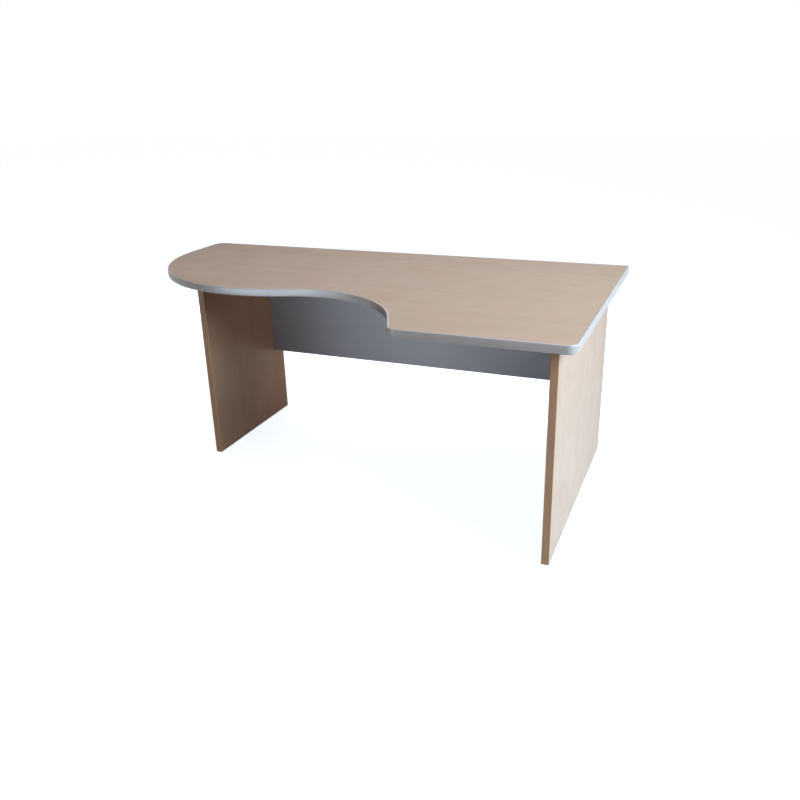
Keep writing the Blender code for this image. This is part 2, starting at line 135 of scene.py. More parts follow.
def new_tree(name, kind, inputs, outputs):
    """A node group; its sockets are given as name: (socket type, default or None)."""
    tree = bpy.data.node_groups.new(name, kind)
    for direction, sockets in (("INPUT", inputs), ("OUTPUT", outputs)):
        for socket_name, (socket_type, default) in sockets.items():
            socket = tree.interface.new_socket(
                name=socket_name, in_out=direction, socket_type=socket_type)
            if default is not None:
                socket.default_value = default
    start = tree.nodes.new("NodeGroupInput")
    end = tree.nodes.new("NodeGroupOutput")
    return tree, start.outputs, end.inputs


# %% [markdown]
# ## Printed wood
# The boards are chipboard under a paper print of wood, pressed with melamine. A print is calm: long
# soft bands, fine streaks inside them, and short pores. A picture of wood could be wrapped round
# the boards, but it would need unwrapping and would repeat. Here all three are noise, stretched
# along the grain: one group makes them for every board, and each board turns and weighs them in its
# own way.

# %% The wood print, shared by every board
wood_print, given, made = new_tree(
    "wood_print", "ShaderNodeTree",
    {"Vector": (VECTOR, None), "Band width": (FLOAT, 0.06), "Streak width": (FLOAT, 0.004),
     "Pore width": (FLOAT, 0.0007), "Stretch": (FLOAT, 18.0)},
    {"Bands": (FLOAT, None), "Streaks": (FLOAT, None), "Pores": (FLOAT, None)},
)


def stretched_noise(tree, given, width, detail, distortion):
    """Noise whose blobs are as wide as given across the grain and longer by the stretch along X."""
    across = maths(tree, "DIVIDE", 1.0, given[width])
    along = maths(tree, "DIVIDE", across, given["Stretch"])
    scale = node(tree, "ShaderNodeCombineXYZ", {"X": along, "Y": across, "Z": across}).outputs[0]
    scaled = node(tree, "ShaderNodeVectorMath", {0: given["Vector"], 1: scale},
                  operation="MULTIPLY").outputs[0]
    return node(tree, "ShaderNodeTexNoise", {
        "Vector": scaled, "Scale": 1.0, "Detail": detail, "Roughness": 0.55,
        "Distortion": distortion}).outputs["Fac"]


bands = stretched_noise(wood_print, given, "Band width", 2.0, 0.6)
streaks = stretched_noise(wood_print, given, "Streak width", 3.0, 0.3)
pore_noise = stretched_noise(wood_print, given, "Pore width", 1.0, 0.0)
wood_print.links.new(spread(wood_print, bands, 0.3, 0.7), made["Bands"])
wood_print.links.new(spread(wood_print, streaks, 0.28, 0.72), made["Streaks"])
wood_print.links.new(spread(wood_print, pore_noise, 0.60, 0.72), made["Pores"])
print("wood print:", len(wood_print.nodes), "nodes")

# %% [markdown]
# ## Pressed skin and handling
# The press leaves a fine, even dimple in melamine, and plastic has it too. It is far too fine to
# model, so it is a bump in the shading. Hands and cloths leave faint smudges that only show in the
# shine. Both are groups, because most of the finishes use them.

# %% The skin and the smudges, shared by boards and plastics
pressed_skin, given, made = new_tree(
    "pressed_skin", "ShaderNodeTree",
    {"Vector": (VECTOR, None), "Dimple": (FLOAT, 0.0009)},
    {"Height": (FLOAT, None)},
)
dimples = node(pressed_skin, "ShaderNodeTexNoise", {
    "Vector": given["Vector"], "Scale": maths(pressed_skin, "DIVIDE", 1.0, given["Dimple"]),
    "Detail": 2.0, "Roughness": 0.5}).outputs["Fac"]
pressed_skin.links.new(dimples, made["Height"])

smudges, given, made = new_tree(
    "smudges", "ShaderNodeTree",
    {"Vector": (VECTOR, None), "Size": (FLOAT, 0.12)},
    {"Smudge": (FLOAT, None)},
)
clouds = node(smudges, "ShaderNodeTexNoise", {
    "Vector": given["Vector"], "Scale": maths(smudges, "DIVIDE", 1.0, given["Size"]),
    "Detail": 4.0, "Roughness": 0.62, "Distortion": 0.8}).outputs["Fac"]
smudges.links.new(spread(smudges, clouds, 0.35, 0.7), made["Smudge"])
print("skin:", len(pressed_skin.nodes), "nodes, smudges:", len(smudges.nodes), "nodes")

# %% [markdown]
# ## Chipboard
# Wherever a saw, a drill or a groove cutter has gone through the print, chipboard shows: flat chips
# of many browns, pressed with glue, coarse and dull. It is in the bores and behind every edge.
# Noise would blur the chips, but Voronoi cells have a shade each and a clear border.

# %% Chipboard, shared by the boards
chipboard, given, made = new_tree(
    "chipboard", "ShaderNodeTree",
    {"Vector": (VECTOR, None), "Chip": (FLOAT, 0.0022)},
    {"Color": (COLOUR, None), "Height": (FLOAT, None)},
)
chips = node(chipboard, "ShaderNodeTexVoronoi", {
    "Vector": given["Vector"], "Scale": maths(chipboard, "DIVIDE", 1.0, given["Chip"]),
    "Randomness": 1.0})
shade_of_chip = node(chipboard, "ShaderNodeSeparateColor", {0: chips.outputs["Color"]}).outputs[0]
chip_colour = blend_colours(chipboard, shade_of_chip, (0.42, 0.27, 0.15, 1), (0.68, 0.50, 0.31, 1))
chipboard.links.new(chip_colour, made["Color"])
chipboard.links.new(chips.outputs["Distance"], made["Height"])
print("chipboard:", len(chipboard.nodes), "nodes")


# %% A bare finish to start each material from
def start_material(name, roughness, metallic=0.0, gloss=0.5):
    """A material with its shader's plain values set, and the coordinates of the piece it is on."""
    material = bpy.data.materials.new(name)
    material.use_nodes = True
    tree = material.node_tree
    shader = tree.nodes["Principled BSDF"]
    shader.inputs["Roughness"].default_value = roughness
    shader.inputs["Metallic"].default_value = metallic
    shader.inputs["Specular IOR Level"].default_value = gloss
    place = node(tree, "ShaderNodeTexCoord").outputs["Object"]
    return material, tree, shader.inputs, place


def rough_between(tree, sockets, share, low, high):
    tree.links.new(spread(tree, share, 0.0, 1.0, low, high), sockets["Roughness"])


def bumpy(tree, sockets, height, depth):
    bump = node(tree, "ShaderNodeBump", {"Strength": 1.0, "Distance": depth, "Height": height})
    tree.links.new(bump.outputs["Normal"], sockets["Normal"])


# %% [markdown]
# ## The board finishes
# The top and the legs carry the same kind of pale print, and the modesty panel is a plain blue-grey
# one. The legs get two copies of it: the left leg's is darker and warmer, which is painted shade,
# and the right leg's is paler, which is painted light. The grain runs along the top and up the
# legs, so each finish turns the coordinates before it prints. Sawn faces could have a material of
# their own, but then each would have to be picked out.
# Instead the way that a face looks decides: away from the printed sides, the chipboard takes over.

# %% Board finishes
ALONG_X, ALONG_Z = (0, 0, 0), (0, math.radians(90), 0)
coarse_relief, fine_relief = 0.00004, 0.00003
sawn_below, printed_above, sawn_roughness = 0.70, 0.75, 0.4


def facing_along(tree, axis):
    """How squarely a surface faces along an axis of the piece, either way: 0 to 1."""
    normal = node(tree, "ShaderNodeTexCoord").outputs["Normal"]
    return maths(tree, "ABSOLUTE", node(tree, "ShaderNodeSeparateXYZ", {0: normal}).outputs[axis])


def board_finish(name, pale, deep, pore, turn, weights, widths, roughness, metallic=0.0,
                 printed=None):
    """A printed board: weights are of bands, streaks and pores, widths are theirs in metres.

    Printed is the axis that the two printed faces look along; all others are sawn chipboard.
    """
    material, tree, sockets, place = start_material(name, roughness[0], metallic, gloss=0.2)
    turned = node(tree, "ShaderNodeMapping", {"Vector": place, "Rotation": turn}).outputs[0]
    figure = group(tree, wood_print, {"Vector": turned, "Band width": widths[0],
                                      "Streak width": widths[1], "Pore width": widths[2]})
    banding = maths(tree, "MULTIPLY", figure["Bands"], weights[0])
    streaking = maths(tree, "MULTIPLY", figure["Streaks"], weights[1])
    share = maths(tree, "ADD", banding, streaking, clamp=True)
    ground = blend_colours(tree, share, (*pale, 1), (*deep, 1))
    pores = maths(tree, "MULTIPLY", figure["Pores"], weights[2])
    colour = blend_colours(tree, pores, ground, (*pore, 1))
    rough = spread(tree, group(tree, smudges, {"Vector": place})["Smudge"], 0.0, 1.0, *roughness)
    height = maths(tree, "SUBTRACT", group(tree, pressed_skin, {"Vector": place})["Height"], pores)
    if printed:
        face = spread(tree, facing_along(tree, printed), sawn_below, printed_above)
        core = group(tree, chipboard, {"Vector": place})
        colour = blend_colours(tree, face, core["Color"], colour)
        sawn = maths(tree, "MULTIPLY", maths(tree, "SUBTRACT", 1.0, face), sawn_roughness)
        rough = maths(tree, "ADD", rough, sawn)
        height = node(tree, "ShaderNodeMix", {0: face, 2: core["Height"], 3: height}).outputs[0]
    tree.links.new(colour, sockets["Base Color"])
    tree.links.new(rough, sockets["Roughness"])
    bumpy(tree, sockets, height, coarse_relief)
    return material


# %% The finish of each board
top_print = board_finish(
    "top_print", pale=(0.500, 0.398, 0.318), deep=(0.425, 0.332, 0.260), pore=(0.35, 0.26, 0.20),
    turn=ALONG_X, weights=(0.45, 0.40, 0.30), widths=(0.060, 0.0040, 0.0007),
    roughness=(0.42, 0.54), printed="Z")
# Both legs are the same board with one print. The left copy is darker and warmer, which is painted
# shade, and the right copy is paler, which is painted light.
left_leg_print, right_leg_print = (
    board_finish(name, pale=pale, deep=deep, pore=(0.37, 0.26, 0.19), turn=ALONG_Z,
                 weights=(0.40, 0.40, 0.30), widths=(0.050, 0.0036, 0.0007), roughness=(0.40, 0.52),
                 printed="X")
    for name, pale, deep in (
        ("left_leg_print", (0.530, 0.366, 0.258), (0.440, 0.296, 0.201)),
        ("right_leg_print", (0.605, 0.488, 0.412), (0.515, 0.405, 0.332))))
panel_print = board_finish(
    "panel_print", pale=(0.300, 0.330, 0.400), deep=(0.270, 0.300, 0.368), pore=(0.22, 0.24, 0.30),
    turn=ALONG_X, weights=(0.35, 0.30, 0.20), widths=(0.090, 0.0030, 0.0009),
    roughness=(0.40, 0.50), metallic=0.15, printed="Y")
panel_edge = board_finish(
    "panel_edge", pale=(0.315, 0.345, 0.415), deep=(0.290, 0.320, 0.388), pore=(0.24, 0.26, 0.32),
    turn=ALONG_X, weights=(0.35, 0.30, 0.20), widths=(0.020, 0.0030, 0.0009),
    roughness=(0.38, 0.48), metallic=0.15)
print("top print:", len(top_print.node_tree.nodes), "nodes")

# %% [markdown]
# ## The bands on the legs' edges
# The upright edges wear a 2 mm plastic band. Its face is printed like a deeper beech, and the
# router that rounds its corners cuts through the print into golden plastic, which is the thin warm
# line beside it. That golden is brighter than the plastic would be, so it is partly a painted
# highlight of the light on the rounded corners. Here too the way that the surface looks finds those
# corners.

# %% Band finish
printed_below, routed_above = 0.15, 0.45


def band_finish(name, pale, deep, core, roughness):
    """A printed band showing its core, bright as a painted highlight, where a corner looks along X.
    """
    material, tree, sockets, place = start_material(name, roughness[0])
    turned = node(tree, "ShaderNodeMapping", {"Vector": place, "Rotation": ALONG_Z}).outputs[0]
    figure = group(tree, wood_print,
                   {"Vector": turned, "Band width": 0.020, "Streak width": 0.0024})
    banding = maths(tree, "MULTIPLY", figure["Bands"], 0.4)
    mixed = maths(tree, "MULTIPLY_ADD", figure["Streaks"], 0.6, banding)
    printed = blend_colours(tree, mixed, (*pale, 1), (*deep, 1))
    # Where a corner looks along X the band turns golden: routed core and painted highlight in one.
    routed_core_and_painted_highlight = spread(tree, facing_along(tree, "X"), printed_below, routed_above)
    tree.links.new(blend_colours(tree, routed_core_and_painted_highlight, printed, (*core, 1)), sockets["Base Color"])
    rough_between(tree, sockets, group(tree, smudges, {"Vector": place})["Smudge"], *roughness)
    skin = group(tree, pressed_skin, {"Vector": place})["Height"]
    bumpy(tree, sockets, skin, fine_relief)
    return material


# The core colour is partly the routed plastic and partly a painted highlight on the rounded
# corners.
leg_band = band_finish("leg_band", pale=(0.690, 0.450, 0.298), deep=(0.570, 0.360, 0.228),
                       core=(0.840, 0.620, 0.280), roughness=(0.36, 0.46))
print("leg band:", len(leg_band.node_tree.nodes), "nodes")

# %% [markdown]
# ## The moulding's plastic
# The rim is soft PVC in silver grey. The grey is loaded with very fine flake, which makes the sheen
# broad and a little bluish, and the extruder leaves a faint orange peel. Tiny cells of two greys
# stand for the flake, since single grains of it are never seen.

# %% Plastics
edging_plastic, tree, sockets, place = start_material("edging_plastic", 0.36, metallic=0.12)
sockets["IOR"].default_value = 1.5
flake = node(tree, "ShaderNodeTexVoronoi", {"Vector": place, "Scale": 1400.0}).outputs["Color"]
sparkle = node(tree, "ShaderNodeSeparateColor", {0: flake}).outputs[0]
grey = blend_colours(tree, sparkle, (0.455, 0.478, 0.515, 1), (0.530, 0.552, 0.590, 1))
rubbed = group(tree, smudges, {"Vector": place, "Size": 0.05})["Smudge"]
wear = maths(tree, "MULTIPLY", rubbed, 0.25)
worn_grey = blend_colours(tree, wear, grey, (0.39, 0.40, 0.42, 1))
tree.links.new(worn_grey, sockets["Base Color"])
rough_between(tree, sockets, rubbed, 0.32, 0.44)
peel = group(tree, pressed_skin, {"Vector": place, "Dimple": 0.0016})["Height"]
bumpy(tree, sockets, peel, fine_relief)

glide_plastic, tree, sockets, place = start_material("glide_plastic", 0.5)
worn = group(tree, smudges, {"Vector": place, "Size": 0.006})["Smudge"]
black = blend_colours(tree, worn, (0.030, 0.030, 0.032, 1), (0.075, 0.073, 0.070, 1))
tree.links.new(black, sockets["Base Color"])
rough_between(tree, sockets, worn, 0.42, 0.62)
scuffs = group(tree, pressed_skin, {"Vector": place, "Dimple": 0.0005})["Height"]
bumpy(tree, sockets, scuffs, coarse_relief)
print("plastics:", edging_plastic.name, glide_plastic.name)

# %% [markdown]
# ## Metal and bare wood
# The cams are die-cast zinc, dull and slightly pitted. The bolts and nails are drawn steel with a
# bright zinc plate, and the dowels are bare beech, turned and fluted. The metals differ only in
# colour, grain and gloss, so one helper makes both. The dowels borrow the boards' print, smaller.

# %% Fitting finishes
cloud_per_pit = 8


def metal_finish(name, bright, dull, pit, roughness):
    """A metal that is cloudy on a small scale; pit is the size of its grain in metres."""
    material, tree, sockets, place = start_material(name, roughness[0], metallic=1.0)
    cloud = group(tree, smudges, {"Vector": place, "Size": pit * cloud_per_pit})["Smudge"]
    tree.links.new(blend_colours(tree, cloud, (*bright, 1), (*dull, 1)), sockets["Base Color"])
    rough_between(tree, sockets, cloud, *roughness)
    pits = group(tree, pressed_skin, {"Vector": place, "Dimple": pit})["Height"]
    bumpy(tree, sockets, pits, fine_relief)
    return material


cast_zinc = metal_finish("cast_zinc", (0.66, 0.66, 0.64), (0.52, 0.52, 0.51), 0.0005, (0.36, 0.52))
plated_steel = metal_finish("plated_steel", (0.74, 0.74, 0.72), (0.62, 0.62, 0.58), 0.0003,
                            (0.22, 0.36))
turned_beech = board_finish(
    "turned_beech", pale=(0.700, 0.520, 0.340), deep=(0.560, 0.390, 0.230), pore=(0.38, 0.24, 0.14),
    turn=ALONG_Z, weights=(0.4, 0.5, 0.5), widths=(0.004, 0.0010, 0.0003), roughness=(0.60, 0.75))
print("finishes:", [material.name for material in bpy.data.materials])

# %% [markdown]
# ## Dress the boards
# The imported boards already have the right shape, with every bore and groove in them, so they only
# take their finish. The grain of both legs stands upright. The left leg takes the copy of the print
# with painted shade, and the right leg the copy with painted light.


def dress(name, material):
    mesh = nodes[name].data
    mesh.materials.clear()
    mesh.materials.append(material)


dressed = {
    "desktop_board": top_print,
    "left_leg_panel": left_leg_print, "right_leg_panel": right_leg_print,
    "left_leg_bottom_edge_band": leg_band, "right_leg_bottom_edge_band": leg_band,
    "modesty_panel": panel_print,
}
for name, material in dressed.items():
    dress(name, material)
print("dressed:", list(dressed))

# %% [markdown]
# ## The moulding round the rim
# The rim follows one rule: arcs that run into each other through straight tangents. A lobe, a bay
# and a nose make the sweep. The moulding could be built up by hand round that line, but its section
# never changes, so Geometry Nodes pull it along, as the extruder and the fitter do between them: it
# stays upright, and the strip is trimmed where its ends meet.

# %% The rim's line, from the named sizes of the top
desk_width, desk_depth, desk_height, board = 1.800, 1.020, 0.745, 0.025
left, right, front, back = -desk_width / 2, desk_width / 2, -desk_depth / 2, desk_depth / 2
lobe_radius, lobe_from_back, lobe_to_bay_run = 0.535, 0.192, 0.006
bay_radius, bay_from_left, bay_to_nose_run = 0.378, 0.858, 0.105
nose_radius, front_right_radius = 0.040, 0.030
rear_left_radius, rear_right_radius = 0.035, 0.018
moulding_head, gap = 0.0035, 0.0003
rim_inset = moulding_head + gap
largest_step, fewest_steps = 0.004, 6


def arc(centre, radius, inset, start, end):
    """Points along an arc, close enough together that its chords don't show."""
    count = max(fewest_steps, math.ceil(abs(end - start) * radius / largest_step))
    angles = [start + (end - start) * i / count for i in range(count + 1)]
    return [(centre[0] + (radius - inset) * math.cos(a), centre[1] + (radius - inset) * math.sin(a))
            for a in angles]


def leave_angle(first, second, radii, run, turn):
    """The angle at which an arc ends and the tangent run to the next one starts."""
    return math.atan2(second[1] - first[1], second[0] - first[0]) - turn * math.atan2(run, radii)


def rim_line(inset):
    """The outline of the top, set in evenly, anticlockwise from the middle of the back edge."""
    lobe = (left + lobe_radius, back - lobe_from_back)
    bay_x = left + bay_from_left
    reach = math.hypot(lobe_radius + bay_radius, lobe_to_bay_run)
    bay = (bay_x, lobe[1] - math.sqrt(reach ** 2 - (bay_x - lobe[0]) ** 2))
    nose_y = front + nose_radius
    reach = math.hypot(bay_radius + nose_radius, bay_to_nose_run)
    nose = (bay_x + math.sqrt(reach ** 2 - (nose_y - bay[1]) ** 2), nose_y)
    lobe_end = leave_angle(lobe, bay, lobe_radius + bay_radius, lobe_to_bay_run, 1)
    bay_end = leave_angle(bay, nose, bay_radius + nose_radius, bay_to_nose_run, -1)
    quarter = math.pi / 2
    corners = [(left + rear_left_radius, back - rear_left_radius),
               (right - front_right_radius, front + front_right_radius),
               (right - rear_right_radius, back - rear_right_radius)]
    return (
        [(0, back - inset)]
        + arc(corners[0], rear_left_radius, inset, quarter, 2 * quarter)
        + arc(lobe, lobe_radius, inset, -2 * quarter, lobe_end)
        + arc(bay, bay_radius, -inset, lobe_end + math.pi, bay_end)
        + arc(nose, nose_radius, inset, bay_end - math.pi, -quarter)
        + arc(corners[1], front_right_radius, inset, -quarter, 0)
        + arc(corners[2], rear_right_radius, inset, 0, quarter)
    )


print("rim points:", len(rim_line(rim_inset)))

# %% The moulding's section
lip_reach, lip, lip_seat, shoulder_radius, bow = 0.0025, 0.0012, 0.0006, 0.0030, 0.0006
tongue, half_web, barb, barb_length = 0.0108, 0.0007, 0.0014, 0.0036
barb_peak = 0.8  # how far along a barb its widest point lies


def moulding_section(steps=7):
    """Outward in X and up in Y from the board's rim: a bowed head, two lips and a barbed tongue."""
    face = board / 2
    seat = face - lip_seat + gap
    crown = seat + lip
    flat = rim_inset - bow
    side = crown - shoulder_radius
    upper = [(-tongue, half_web / 2)]
    for i in range(2):
        upper.append(((i + barb_peak) * barb_length - tongue, barb))
        upper.append(((i + 1) * barb_length - tongue, half_web))
    upper += [(gap, half_web), (gap, seat), (-lip_reach, seat), (-lip_reach, face)]
    for i in range(1, steps):
        t = i / steps
        upper.append((-lip_reach * (1 - t), face + (crown - face) * math.sin(t * math.pi / 2)))
    for i in range(steps + 1):
        a = math.pi / 2 * (1 - i / steps)
        upper.append((flat - shoulder_radius + shoulder_radius * math.cos(a),
                      side + shoulder_radius * math.sin(a)))
    for i in range(1, steps):
        t = 1 - i / steps
        upper.append((rim_inset - bow * t * t, side * t))
    upper.append((rim_inset, 0))
    return upper + [(x, -y) for x, y in reversed(upper[:-1])]


print("section points:", len(moulding_section()))


# %% The tree that sweeps a section along a line
def end_tree(tree, shape, finish, made):
    """Ends a tree: instances become real and the shape takes its finish."""
    real = node(tree, "GeometryNodeRealizeInstances", {"Geometry": shape}).outputs[0]
    finished = node(tree, "GeometryNodeSetMaterial", {"Geometry": real, "Material": finish})
    tree.links.new(finished.outputs[0], made["Shape"])


butt_seam = 0.0005
sweep_tree, given, made = new_tree(
    "sweep_along_rim", "GeometryNodeTree",
    {"Line": (SHAPE, None), "Section": (OBJECT, None), "Seam": (FLOAT, butt_seam),
     "Finish": (MATERIAL, None)},
    {"Shape": (SHAPE, None)},
)
half_seam = maths(sweep_tree, "MULTIPLY", given["Seam"], 0.5)
line_length = node(sweep_tree, "GeometryNodeCurveLength", {"Curve": given["Line"]}).outputs[0]
trimmed = node(sweep_tree, "GeometryNodeTrimCurve", {
    "Curve": given["Line"], 4: half_seam,
    5: maths(sweep_tree, "SUBTRACT", line_length, half_seam)}, mode="LENGTH").outputs[0]
upright = node(sweep_tree, "GeometryNodeSetCurveNormal", {"Curve": trimmed}, mode="Z_UP").outputs[0]
section = node(sweep_tree, "GeometryNodeObjectInfo", {
    "Object": given["Section"]}).outputs["Geometry"]
swept = node(sweep_tree, "GeometryNodeCurveToMesh", {
    "Curve": upright, "Profile Curve": section, "Fill Caps": True}).outputs[0]
end_tree(sweep_tree, swept, given["Finish"], made)
print("sweep tree:", len(sweep_tree.nodes), "nodes")

# %% Helpers that turn a tree into a plain piece
weld_distance = 0.000002


def poly_curve(name, points, closed, height=0.0):
    curve = bpy.data.curves.new(name, "CURVE")
    curve.dimensions = "3D"
    spline = curve.splines.new("POLY")
    spline.points.add(len(points) - 1)
    for target, (x, y) in zip(spline.points, points):
        target.co = (x, y, height, 1)
    spline.use_cyclic_u = closed
    guide = bpy.data.objects.new(name, curve)
    scene.collection.objects.link(guide)
    return guide


def run_tree(guide, tree, values):
    """Puts a tree on a guide object and sets its inputs by their identifiers."""
    modifier = guide.modifiers.new(tree.name, "NODES")
    modifier.node_group = tree
    for item in tree.interface.items_tree:
        if item.in_out == "INPUT" and item.name in values:
            modifier[item.identifier] = values[item.name]


def plain_mesh(guide, name):
    """The evaluated mesh of a guide, welded and facing outwards."""
    bpy.context.view_layer.update()
    seen = guide.evaluated_get(bpy.context.evaluated_depsgraph_get())
    mesh = bpy.data.meshes.new_from_object(seen)
    mesh.name = name
    shape = bmesh.new()
    shape.from_mesh(mesh)
    bmesh.ops.remove_doubles(shape, verts=shape.verts, dist=weld_distance)
    bmesh.ops.recalc_face_normals(shape, faces=shape.faces)
    shape.to_mesh(mesh)
    shape.free()
    return mesh


def piece_from(mesh, name, body, replaced, sharp_from=35):
    """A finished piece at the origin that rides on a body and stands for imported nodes."""
    mesh.shade_smooth()
    mesh.set_sharp_from_angle(angle=math.radians(sharp_from))
    made = bpy.data.objects.new(name, mesh)
    scene.collection.objects.link(made)
    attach(made, body)
    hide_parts(*replaced)
    print(name, "faces:", len(mesh.polygons))
    return made


# %% Sweep the moulding
rim_guide = poly_curve("rim_line", rim_line(rim_inset), True, desk_height - board / 2)
section_guide = poly_curve("moulding_section", moulding_section(), True)
run_tree(rim_guide, sweep_tree,
         {"Section": section_guide, "Seam": butt_seam, "Finish": edging_plastic})
moulding = plain_mesh(rim_guide, "edging_strip")
piece_from(moulding, "edging_strip", "desk", ["desktop_edging"])
for guide in (rim_guide, section_guide):
    bpy.data.objects.remove(guide)

# %% [markdown]
# ## Rounded bands
# Each band is a long strip whose two outer corners a router has rounded. A box with those two edges
# bevelled is exactly that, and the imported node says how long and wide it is. A hair's breadth of
# inset round the wide face keeps it flat under smooth shading, so that only the corners catch the
# light.

# %% Bands
band_corner_share, band_corner_steps, hair = 0.6, 6, 0.00006


def band_mesh(name, outward, finish):
    """A box as large as the node, with the two long corners on its outward side rounded."""
    low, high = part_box(name)
    size, middle = high - low, (high + low) / 2
    axis = max(range(3), key=lambda i: abs(outward[i]))
    length = max(range(3), key=lambda i: size[i])
    shape = bmesh.new()
    block = Matrix.Translation(middle) @ Matrix.Diagonal((*size, 1))
    bmesh.ops.create_cube(shape, size=1, matrix=block)
    corners = [edge for edge in shape.edges
               if all((v.co[axis] - middle[axis]) * outward[axis] > 0 for v in edge.verts)
               and abs(edge.verts[0].co[length] - edge.verts[1].co[length]) > size[length] / 2]
    bmesh.ops.bevel(shape, geom=corners, offset=size[axis] * band_corner_share,
                    segments=band_corner_steps, profile=0.5, affect="EDGES")
    flat = max((face for face in shape.faces if face.normal[axis] * outward[axis] > 0.99),
               key=lambda face: face.calc_area())
    bmesh.ops.inset_region(shape, faces=[flat], thickness=hair, use_even_offset=True)
    mesh = bpy.data.meshes.new(name)
    shape.to_mesh(mesh)
    shape.free()
    mesh.materials.append(finish)
    return mesh


for leg in ("left_leg", "right_leg"):
    for edge, outward in (("front", (0, -1, 0)), ("rear", (0, 1, 0))):
        node_name = f"{leg}_{edge}_edge_band"
        piece_from(band_mesh(node_name, outward, leg_band), f"{leg}_{edge}_band", "desk",
                   [node_name])
piece_from(band_mesh("modesty_bottom_edge_band", (0, 0, -1), panel_edge), "panel_lower_band",
           "desk", ["modesty_bottom_edge_band"])

# %% [markdown]
# ## Turned parts
# Bolts, nails and glides are all turned: half of their outline goes round an axis. A Screw modifier
# could do that, but a short loop closes the ends cleanly too. A list of radius and height is all
# such a part needs, and the list can be read against a drawing.


# %% A lathe
def turned_mesh(name, profile, sides=40):
    """Turns an outline of (radius, height) about Z; it runs anticlockwise from the bottom."""
    shape = bmesh.new()
    rings = []
    for radius, height in profile:
        turns = [2 * math.pi * i / sides for i in range(sides if radius > 0 else 1)]
        rings.append([shape.verts.new((radius * math.cos(a), radius * math.sin(a), height))
                      for a in turns])
    for low, high in zip(rings, rings[1:] + rings[:1]):
        for i in range(sides):
            j = (i + 1) % sides
            corners = list(dict.fromkeys([low[i % len(low)], low[j % len(low)],
                                          high[j % len(high)], high[i % len(high)]]))
            if len(corners) > 2:
                shape.faces.new(corners)
    bmesh.ops.recalc_face_normals(shape, faces=shape.faces)
    mesh = bpy.data.meshes.new(name)
    shape.to_mesh(mesh)
    shape.free()
    return mesh


def rounded(radius, height, reach, turn, steps=5):
    """A rounded corner of a profile; turn is 1 from a side to a top, -1 from a bottom to a side."""
    points = []
    for i in range(steps + 1):
        a = math.pi / 2 * i / steps
        across, up = (math.cos(a), math.sin(a)) if turn > 0 else (math.sin(a), -math.cos(a))
        points.append((radius - reach + reach * across, height - turn * reach + reach * up))
    return points


def helper(name, mesh):
    """A passing object, for a tree or a cut to work on."""
    item = bpy.data.objects.new(name, mesh)
    scene.collection.objects.link(item)
    return item


# %% [markdown]
# ## Cam locks
# Each cam is a slotted drum. The bolt's head sits in its chamber, and a half turn draws it in or
# lets it go through the mouth. The face has a cross for the screwdriver and an arrow that shows
# where the mouth is. Its bore is its bearing, so it is cut from a plain drum by the same few cuts a
# die leaves.


# %% Tools that cut
def moved(mesh, matrix):
    mesh.transform(matrix)
    return mesh


def prism(name, outline, low, high):
    """A plate between two heights with the outline given anticlockwise."""
    count = len(outline)
    points = [(x, y, z) for z in (low, high) for x, y in outline]
    sides = [(i, (i + 1) % count, (i + 1) % count + count, i + count) for i in range(count)]
    lids = [tuple(reversed(range(count))), tuple(range(count, 2 * count))]
    mesh = bpy.data.meshes.new(name)
    mesh.from_pydata(points, [], sides + lids)
    return mesh


def drum(name, radius, low, high, sides=48):
    return turned_mesh(name, [(0, low), (radius, low), (radius, high), (0, high)], sides)


def cut_from(item, *cutters):
    """Cuts meshes from an object, one after another, and gives back the plain mesh."""
    tools = [helper(mesh.name, mesh) for mesh in cutters]
    for tool in tools:
        cut = item.modifiers.new(tool.name, "BOOLEAN")
        cut.operation, cut.object, cut.solver = "DIFFERENCE", tool, "EXACT"
    mesh = plain_mesh(item, item.name)
    for used in tools + [item]:
        bpy.data.objects.remove(used)
    return mesh


# %% The cam's own shape
cam_radius, cam_length, cam_face = 0.0072, 0.0125, 0.0080
cam_foot_edge, cam_face_edge = 0.0004, 0.0003
chamber_radius, chamber_height, throw = 0.0056, 0.0072, 0.00075
slot_width, mouth_radius, overrun = 0.0051, 0.0037, 0.001
slot_start, slot_end, slot_steps = math.radians(122), math.radians(-90), 28
arm, blade, cross_depth = 0.0033, 0.00065, 0.0026
arrow_root, arrow_tip, arrow_half_width, arrow_depth = 0.0044, 0.0062, 0.0010, 0.0003

cut_reach, cut_top = cam_radius + overrun, cam_face + overrun
slot_angles = [slot_end + (slot_start - slot_end) * i / slot_steps for i in range(slot_steps + 1)]
slot_outline = [(0, 0)] + [(cut_reach * math.cos(a), cut_reach * math.sin(a)) for a in slot_angles]
cross = [(arm, -blade), (arm, blade), (blade, blade), (blade, arm), (-blade, arm), (-blade, blade),
         (-arm, blade), (-arm, -blade), (-blade, -blade), (-blade, -arm), (blade, -arm),
         (blade, -blade)]
arrow = [(-arrow_half_width, -arrow_root), (0, -arrow_tip), (arrow_half_width, -arrow_root)]
cam_foot = cam_face - cam_length
blank = turned_mesh("cam", [(0, cam_foot)] + rounded(cam_radius, cam_foot, cam_foot_edge, -1)
                    + rounded(cam_radius, cam_face, cam_face_edge, 1) + [(0, cam_face)], sides=64)
cam_mesh = cut_from(
    helper("cam", blank),
    moved(drum("cam_chamber", chamber_radius, -chamber_height / 2, chamber_height / 2),
          Matrix.Translation((0, -throw, 0))),
    prism("cam_slot", slot_outline, -slot_width / 2, slot_width / 2),
    moved(drum("cam_mouth", mouth_radius, 0, cut_reach, sides=32),
          Matrix.Rotation(math.radians(90), 4, "X")),
    prism("cam_cross", cross, cam_face - cross_depth, cut_top),
    prism("cam_arrow", arrow, cam_face - arrow_depth, cut_top),
)
cam_mesh.materials.clear()
cam_mesh.materials.append(cast_zinc)
print("cam faces:", len(cam_mesh.polygons))

